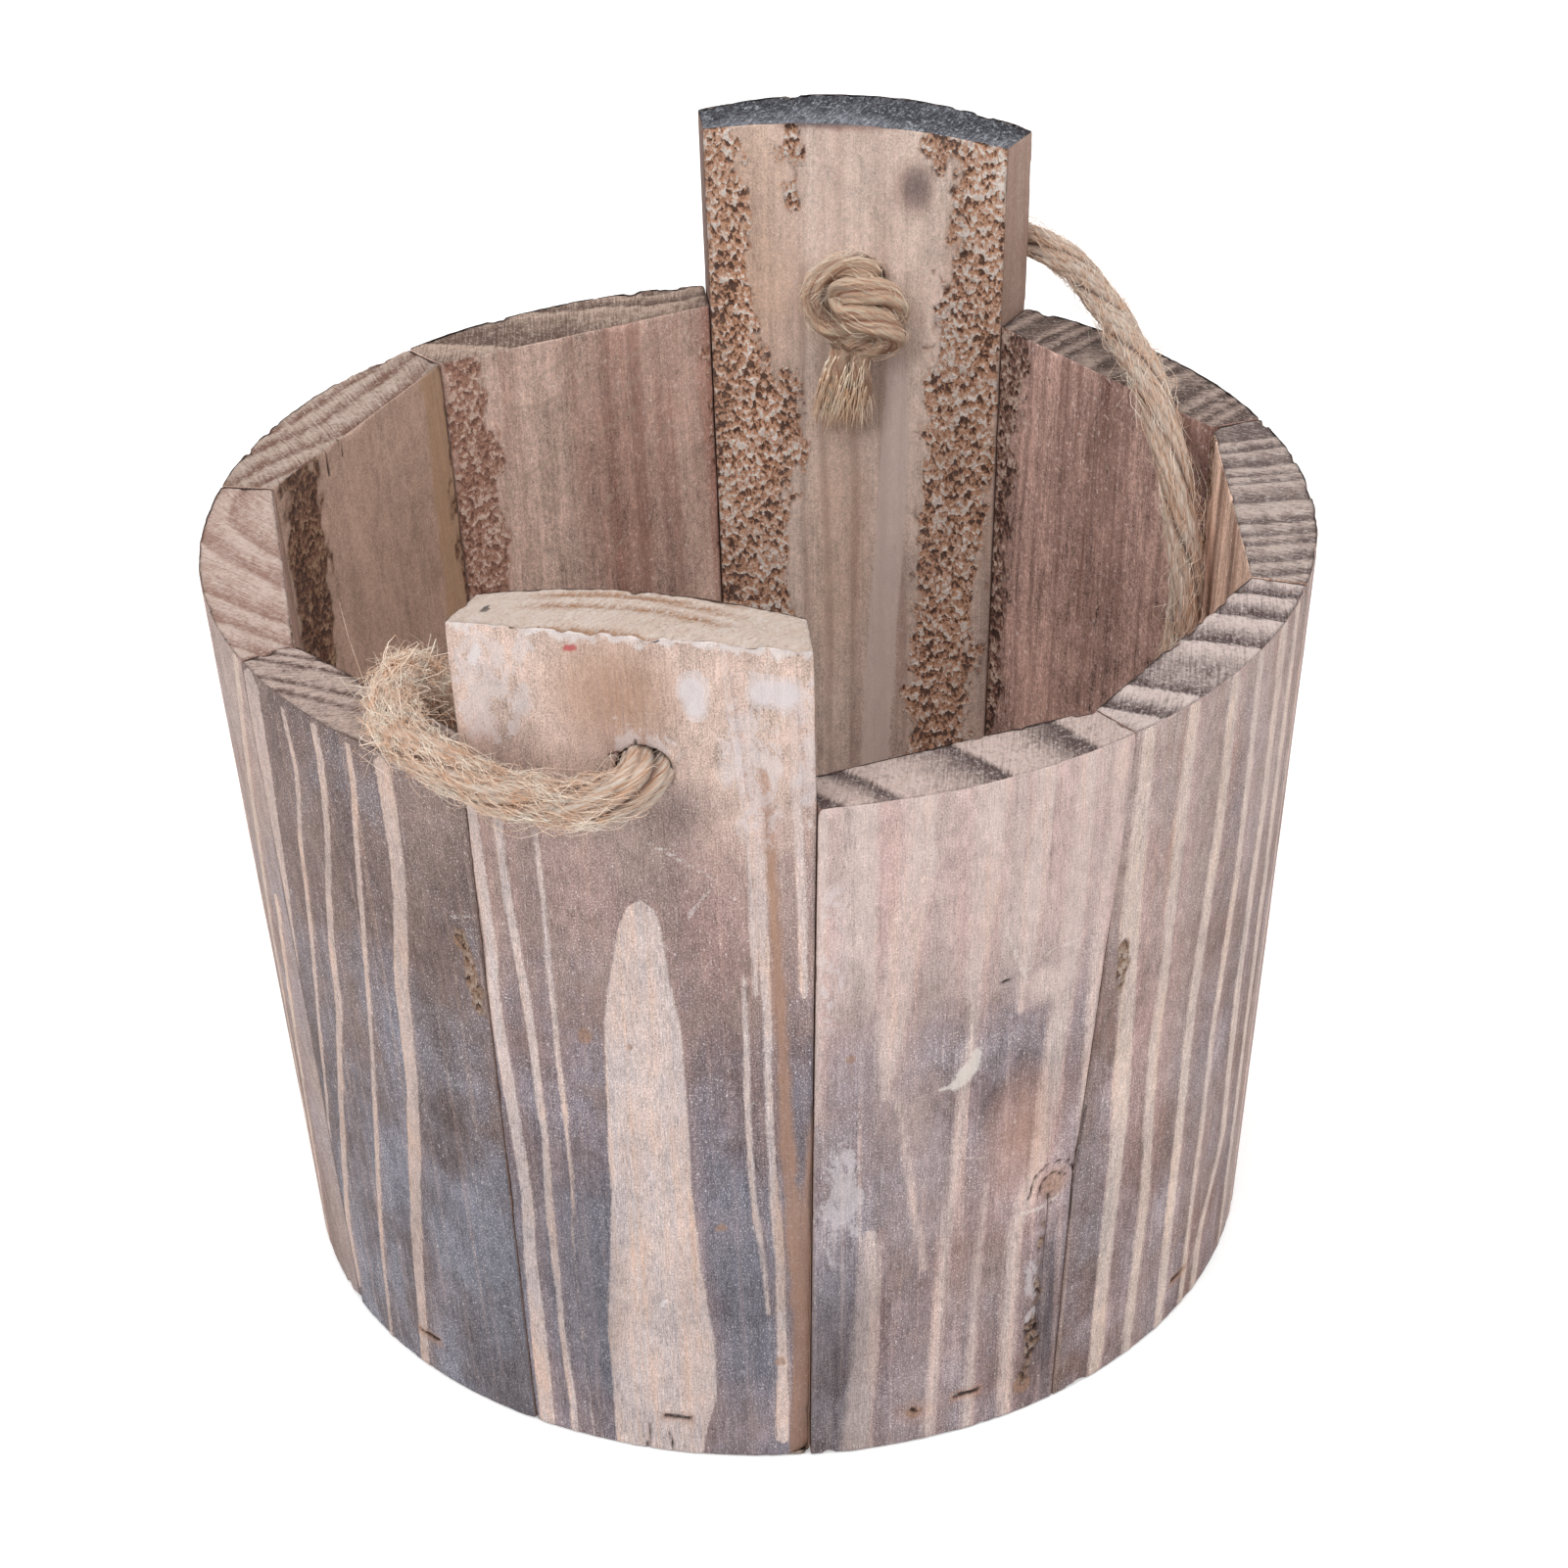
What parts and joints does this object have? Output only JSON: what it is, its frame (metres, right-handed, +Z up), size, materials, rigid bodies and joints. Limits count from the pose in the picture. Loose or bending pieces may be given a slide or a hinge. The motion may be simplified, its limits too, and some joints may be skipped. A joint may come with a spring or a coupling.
{
  "type": "rope-handled barrel planter",
  "caption": "Staved wooden barrel planter that tapers to its foot, with two tall opposite ear staves and a knotted rope handle through their holes.",
  "frame": {"origin": "centre of the foot, on the surface that the planter stands on", "axes": "+Z up, the ear staves stand on the Y axis with the lower one at -Y, and +X is to the right seen from the front"},
  "size_m": [0.21, 0.2313, 0.191],
  "materials": {
    "washed_fir": "burnt, brushed and whitewashed, matt",
    "burnt_fir": "burnt dark and brushed, matt",
    "plain_fir": "sawn, matt",
    "staple_wire": "galvanised wire, dull",
    "jute_rope": "three-strand jute, fuzzy"
  },
  "bodies": {
    "root": {"front_ear_stave": "washed_fir", "right_stave_1": "washed_fir", "right_stave_2": "washed_fir", "right_stave_3": "washed_fir", "right_stave_4": "burnt_fir", "back_ear_stave": "washed_fir", "left_stave_4": "burnt_fir", "left_stave_3": "washed_fir", "left_stave_2": "washed_fir", "left_stave_1": "burnt_fir", "floor_board_left": "plain_fir", "floor_board_middle": "plain_fir", "floor_board_right": "plain_fir", "staples": "staple_wire", "rope_handle": "jute_rope", "rope_knot_front": "jute_rope", "rope_knot_back": "jute_rope"}
  },
  "joints": []
}
